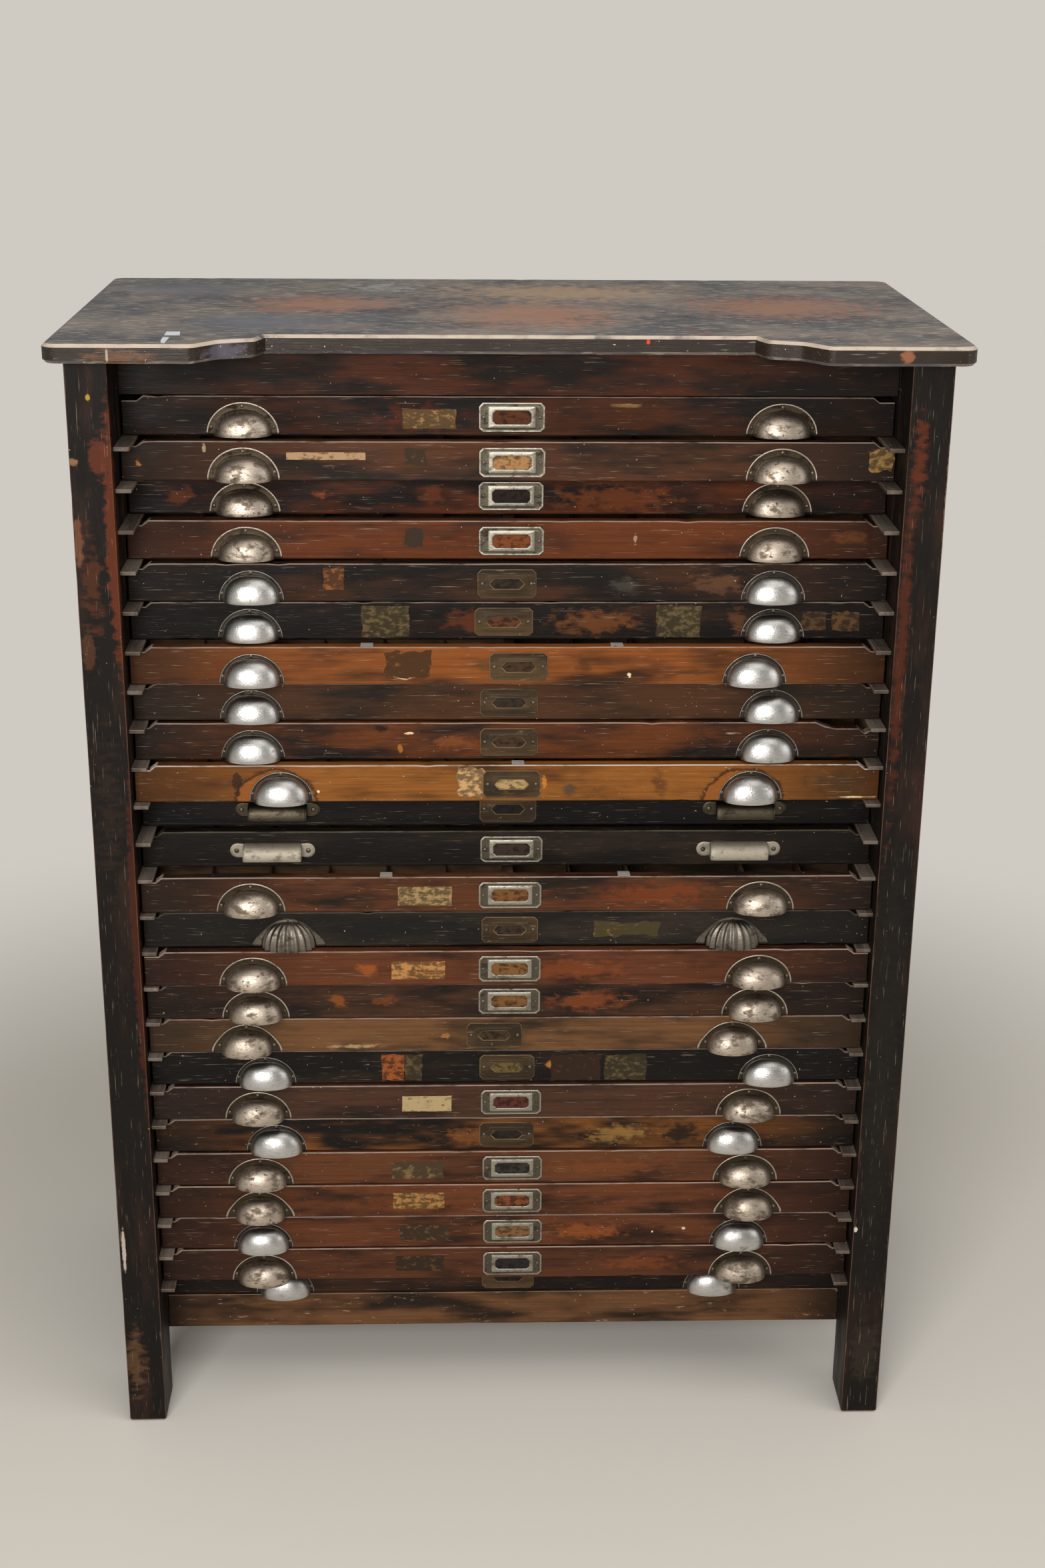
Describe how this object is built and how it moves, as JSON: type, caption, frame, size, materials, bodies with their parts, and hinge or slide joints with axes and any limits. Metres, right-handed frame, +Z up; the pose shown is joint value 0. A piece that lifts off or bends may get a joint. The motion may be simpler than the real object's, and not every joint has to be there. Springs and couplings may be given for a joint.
{
  "type": "type case cabinet",
  "caption": "Printer's type case cabinet: an open-fronted wooden rack with a thick recessed top, holding shallow compartmented cases with cup pulls that slide out.",
  "frame": {"origin": "middle of the footprint, on the floor", "axes": "+Z up, -Y towards the front that the cases pull out of, +X to the right seen from the front"},
  "size_m": [0.961, 0.528, 1.3148],
  "materials": {
    "worn_top": "worn dark stain",
    "stained_carcase": "dark stain, rubbed",
    "stained_panel": "dark stain",
    "worn_rail": "worn stain",
    "back_board": "unfinished softwood, aged",
    "runner_wood": "bare worn wood",
    "case_wood": "dark stain, worn",
    "aged_pull": "tarnished",
    "polished_pull": "polished by hands"
  },
  "bodies": {
    "carcase": {"top_board": "worn_top", "front_posts": "stained_carcase", "rear_posts": "stained_carcase", "side_rails": "stained_carcase", "side_panels": "stained_panel", "top_front_rail": "stained_carcase", "bottom_front_rail": "worn_rail", "back_rails": "stained_carcase", "back_boards": "back_board", "runners": "runner_wood"},
    "case_01": {"case_01": "case_wood", "case_01_fittings": "aged_pull"},
    "case_02": {"case_02": "case_wood", "case_02_fittings": "aged_pull"},
    "case_03": {"case_03": "case_wood", "case_03_fittings": "aged_pull"},
    "case_04": {"case_04": "case_wood", "case_04_fittings": "aged_pull"},
    "case_05": {"case_05": "case_wood", "case_05_fittings": "polished_pull"},
    "case_06": {"case_06": "case_wood", "case_06_fittings": "polished_pull"},
    "case_07": {"case_07": "case_wood", "case_07_fittings": "polished_pull"},
    "case_08": {"case_08": "case_wood", "case_08_fittings": "polished_pull"},
    "case_09": {"case_09": "case_wood", "case_09_fittings": "polished_pull"},
    "case_10": {"case_10": "case_wood", "case_10_fittings": "polished_pull"},
    "case_11": {"case_11": "case_wood", "case_11_fittings": "aged_pull"},
    "case_12": {"case_12": "case_wood", "case_12_fittings": "aged_pull"},
    "case_13": {"case_13": "case_wood", "case_13_fittings": "aged_pull"},
    "case_14": {"case_14": "case_wood", "case_14_fittings": "aged_pull"},
    "case_15": {"case_15": "case_wood", "case_15_fittings": "aged_pull"},
    "case_16": {"case_16": "case_wood", "case_16_fittings": "aged_pull"},
    "case_17": {"case_17": "case_wood", "case_17_fittings": "aged_pull"},
    "case_18": {"case_18": "case_wood", "case_18_fittings": "polished_pull"},
    "case_19": {"case_19": "case_wood", "case_19_fittings": "aged_pull"},
    "case_20": {"case_20": "case_wood", "case_20_fittings": "polished_pull"},
    "case_21": {"case_21": "case_wood", "case_21_fittings": "aged_pull"},
    "case_22": {"case_22": "case_wood", "case_22_fittings": "aged_pull"},
    "case_23": {"case_23": "case_wood", "case_23_fittings": "polished_pull"},
    "case_24": {"case_24": "case_wood", "case_24_fittings": "aged_pull"},
    "case_25": {"case_25": "case_wood", "case_25_fittings": "polished_pull"}
  },
  "joints": [
    {"name": "case_01_slide", "type": "slide", "parent": "carcase", "child": "case_01", "axis": [0, -1, 0], "range_m": [-0.053, 0.3]},
    {"name": "case_02_slide", "type": "slide", "parent": "carcase", "child": "case_02", "axis": [0, -1, 0], "range_m": [-0.074, 0.3]},
    {"name": "case_03_slide", "type": "slide", "parent": "carcase", "child": "case_03", "axis": [0, -1, 0], "range_m": [-0.038, 0.3]},
    {"name": "case_04_slide", "type": "slide", "parent": "carcase", "child": "case_04", "axis": [0, -1, 0], "range_m": [-0.062, 0.3]},
    {"name": "case_05_slide", "type": "slide", "parent": "carcase", "child": "case_05", "axis": [0, -1, 0], "range_m": [-0.074, 0.3]},
    {"name": "case_06_slide", "type": "slide", "parent": "carcase", "child": "case_06", "axis": [0, -1, 0], "range_m": [-0.07, 0.3]},
    {"name": "case_07_slide", "type": "slide", "parent": "carcase", "child": "case_07", "axis": [0, -1, 0], "range_m": [-0.092, 0.3]},
    {"name": "case_08_slide", "type": "slide", "parent": "carcase", "child": "case_08", "axis": [0, -1, 0], "range_m": [-0.083, 0.3]},
    {"name": "case_09_slide", "type": "slide", "parent": "carcase", "child": "case_09", "axis": [0, -1, 0], "range_m": [-0.088, 0.3]},
    {"name": "case_10_slide", "type": "slide", "parent": "carcase", "child": "case_10", "axis": [0, -1, 0], "range_m": [-0.103, 0.3]},
    {"name": "case_11_slide", "type": "slide", "parent": "carcase", "child": "case_11", "axis": [0, -1, 0], "range_m": [-0.064, 0.3]},
    {"name": "case_12_slide", "type": "slide", "parent": "carcase", "child": "case_12", "axis": [0, -1, 0], "range_m": [-0.076, 0.3]},
    {"name": "case_13_slide", "type": "slide", "parent": "carcase", "child": "case_13", "axis": [0, -1, 0], "range_m": [-0.105, 0.3]},
    {"name": "case_14_slide", "type": "slide", "parent": "carcase", "child": "case_14", "axis": [0, -1, 0], "range_m": [-0.101, 0.3]},
    {"name": "case_15_slide", "type": "slide", "parent": "carcase", "child": "case_15", "axis": [0, -1, 0], "range_m": [-0.111, 0.3]},
    {"name": "case_16_slide", "type": "slide", "parent": "carcase", "child": "case_16", "axis": [0, -1, 0], "range_m": [-0.104, 0.3]},
    {"name": "case_17_slide", "type": "slide", "parent": "carcase", "child": "case_17", "axis": [0, -1, 0], "range_m": [-0.102, 0.3]},
    {"name": "case_18_slide", "type": "slide", "parent": "carcase", "child": "case_18", "axis": [0, -1, 0], "range_m": [-0.097, 0.3]},
    {"name": "case_19_slide", "type": "slide", "parent": "carcase", "child": "case_19", "axis": [0, -1, 0], "range_m": [-0.1, 0.3]},
    {"name": "case_20_slide", "type": "slide", "parent": "carcase", "child": "case_20", "axis": [0, -1, 0], "range_m": [-0.097, 0.3]},
    {"name": "case_21_slide", "type": "slide", "parent": "carcase", "child": "case_21", "axis": [0, -1, 0], "range_m": [-0.099, 0.3]},
    {"name": "case_22_slide", "type": "slide", "parent": "carcase", "child": "case_22", "axis": [0, -1, 0], "range_m": [-0.1, 0.3]},
    {"name": "case_23_slide", "type": "slide", "parent": "carcase", "child": "case_23", "axis": [0, -1, 0], "range_m": [-0.096, 0.3]},
    {"name": "case_24_slide", "type": "slide", "parent": "carcase", "child": "case_24", "axis": [0, -1, 0], "range_m": [-0.097, 0.3]},
    {"name": "case_25_slide", "type": "slide", "parent": "carcase", "child": "case_25", "axis": [0, -1, 0], "range_m": [-0.057, 0.3]}
  ]
}
